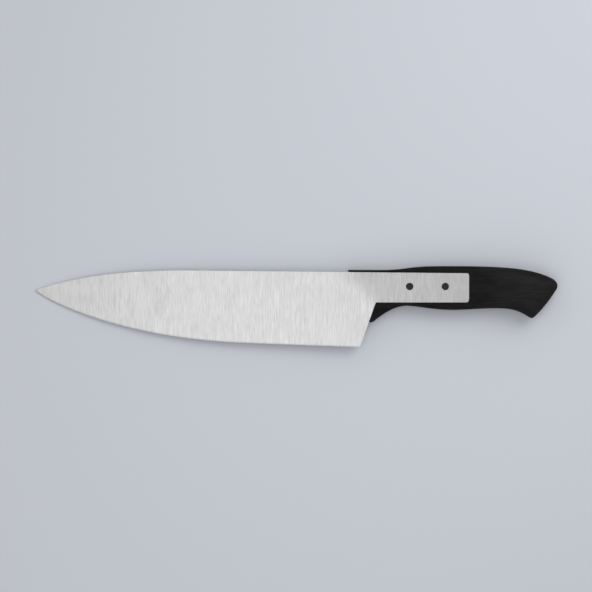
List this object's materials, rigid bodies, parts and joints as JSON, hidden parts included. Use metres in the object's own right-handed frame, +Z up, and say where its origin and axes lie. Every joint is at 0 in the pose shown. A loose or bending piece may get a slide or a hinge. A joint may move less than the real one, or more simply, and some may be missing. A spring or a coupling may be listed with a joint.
{
  "type": "chef knife",
  "caption": "Chef's knife with a wide stamped blade whose short tang lies open in a moulded black handle, held by pins.",
  "frame": {"origin": "on the surface the knife lies on, under the middle of its bounding box", "axes": "+X along the knife toward the butt, +Y from the edge toward the spine, +Z up out of the near side where the tang shows"},
  "size_m": [0.33, 0.0512, 0.0168],
  "materials": {
    "blade_steel": "satin, brushed across the blade from spine to edge",
    "handle_polymer": "matte moulded black with a faint lengthwise grain",
    "pin_polymer": "matte black, flat turned head"
  },
  "bodies": {
    "root": {"blade": "blade_steel", "handle": "handle_polymer", "front_tang_pin": "pin_polymer", "rear_tang_pin": "pin_polymer"}
  },
  "joints": []
}
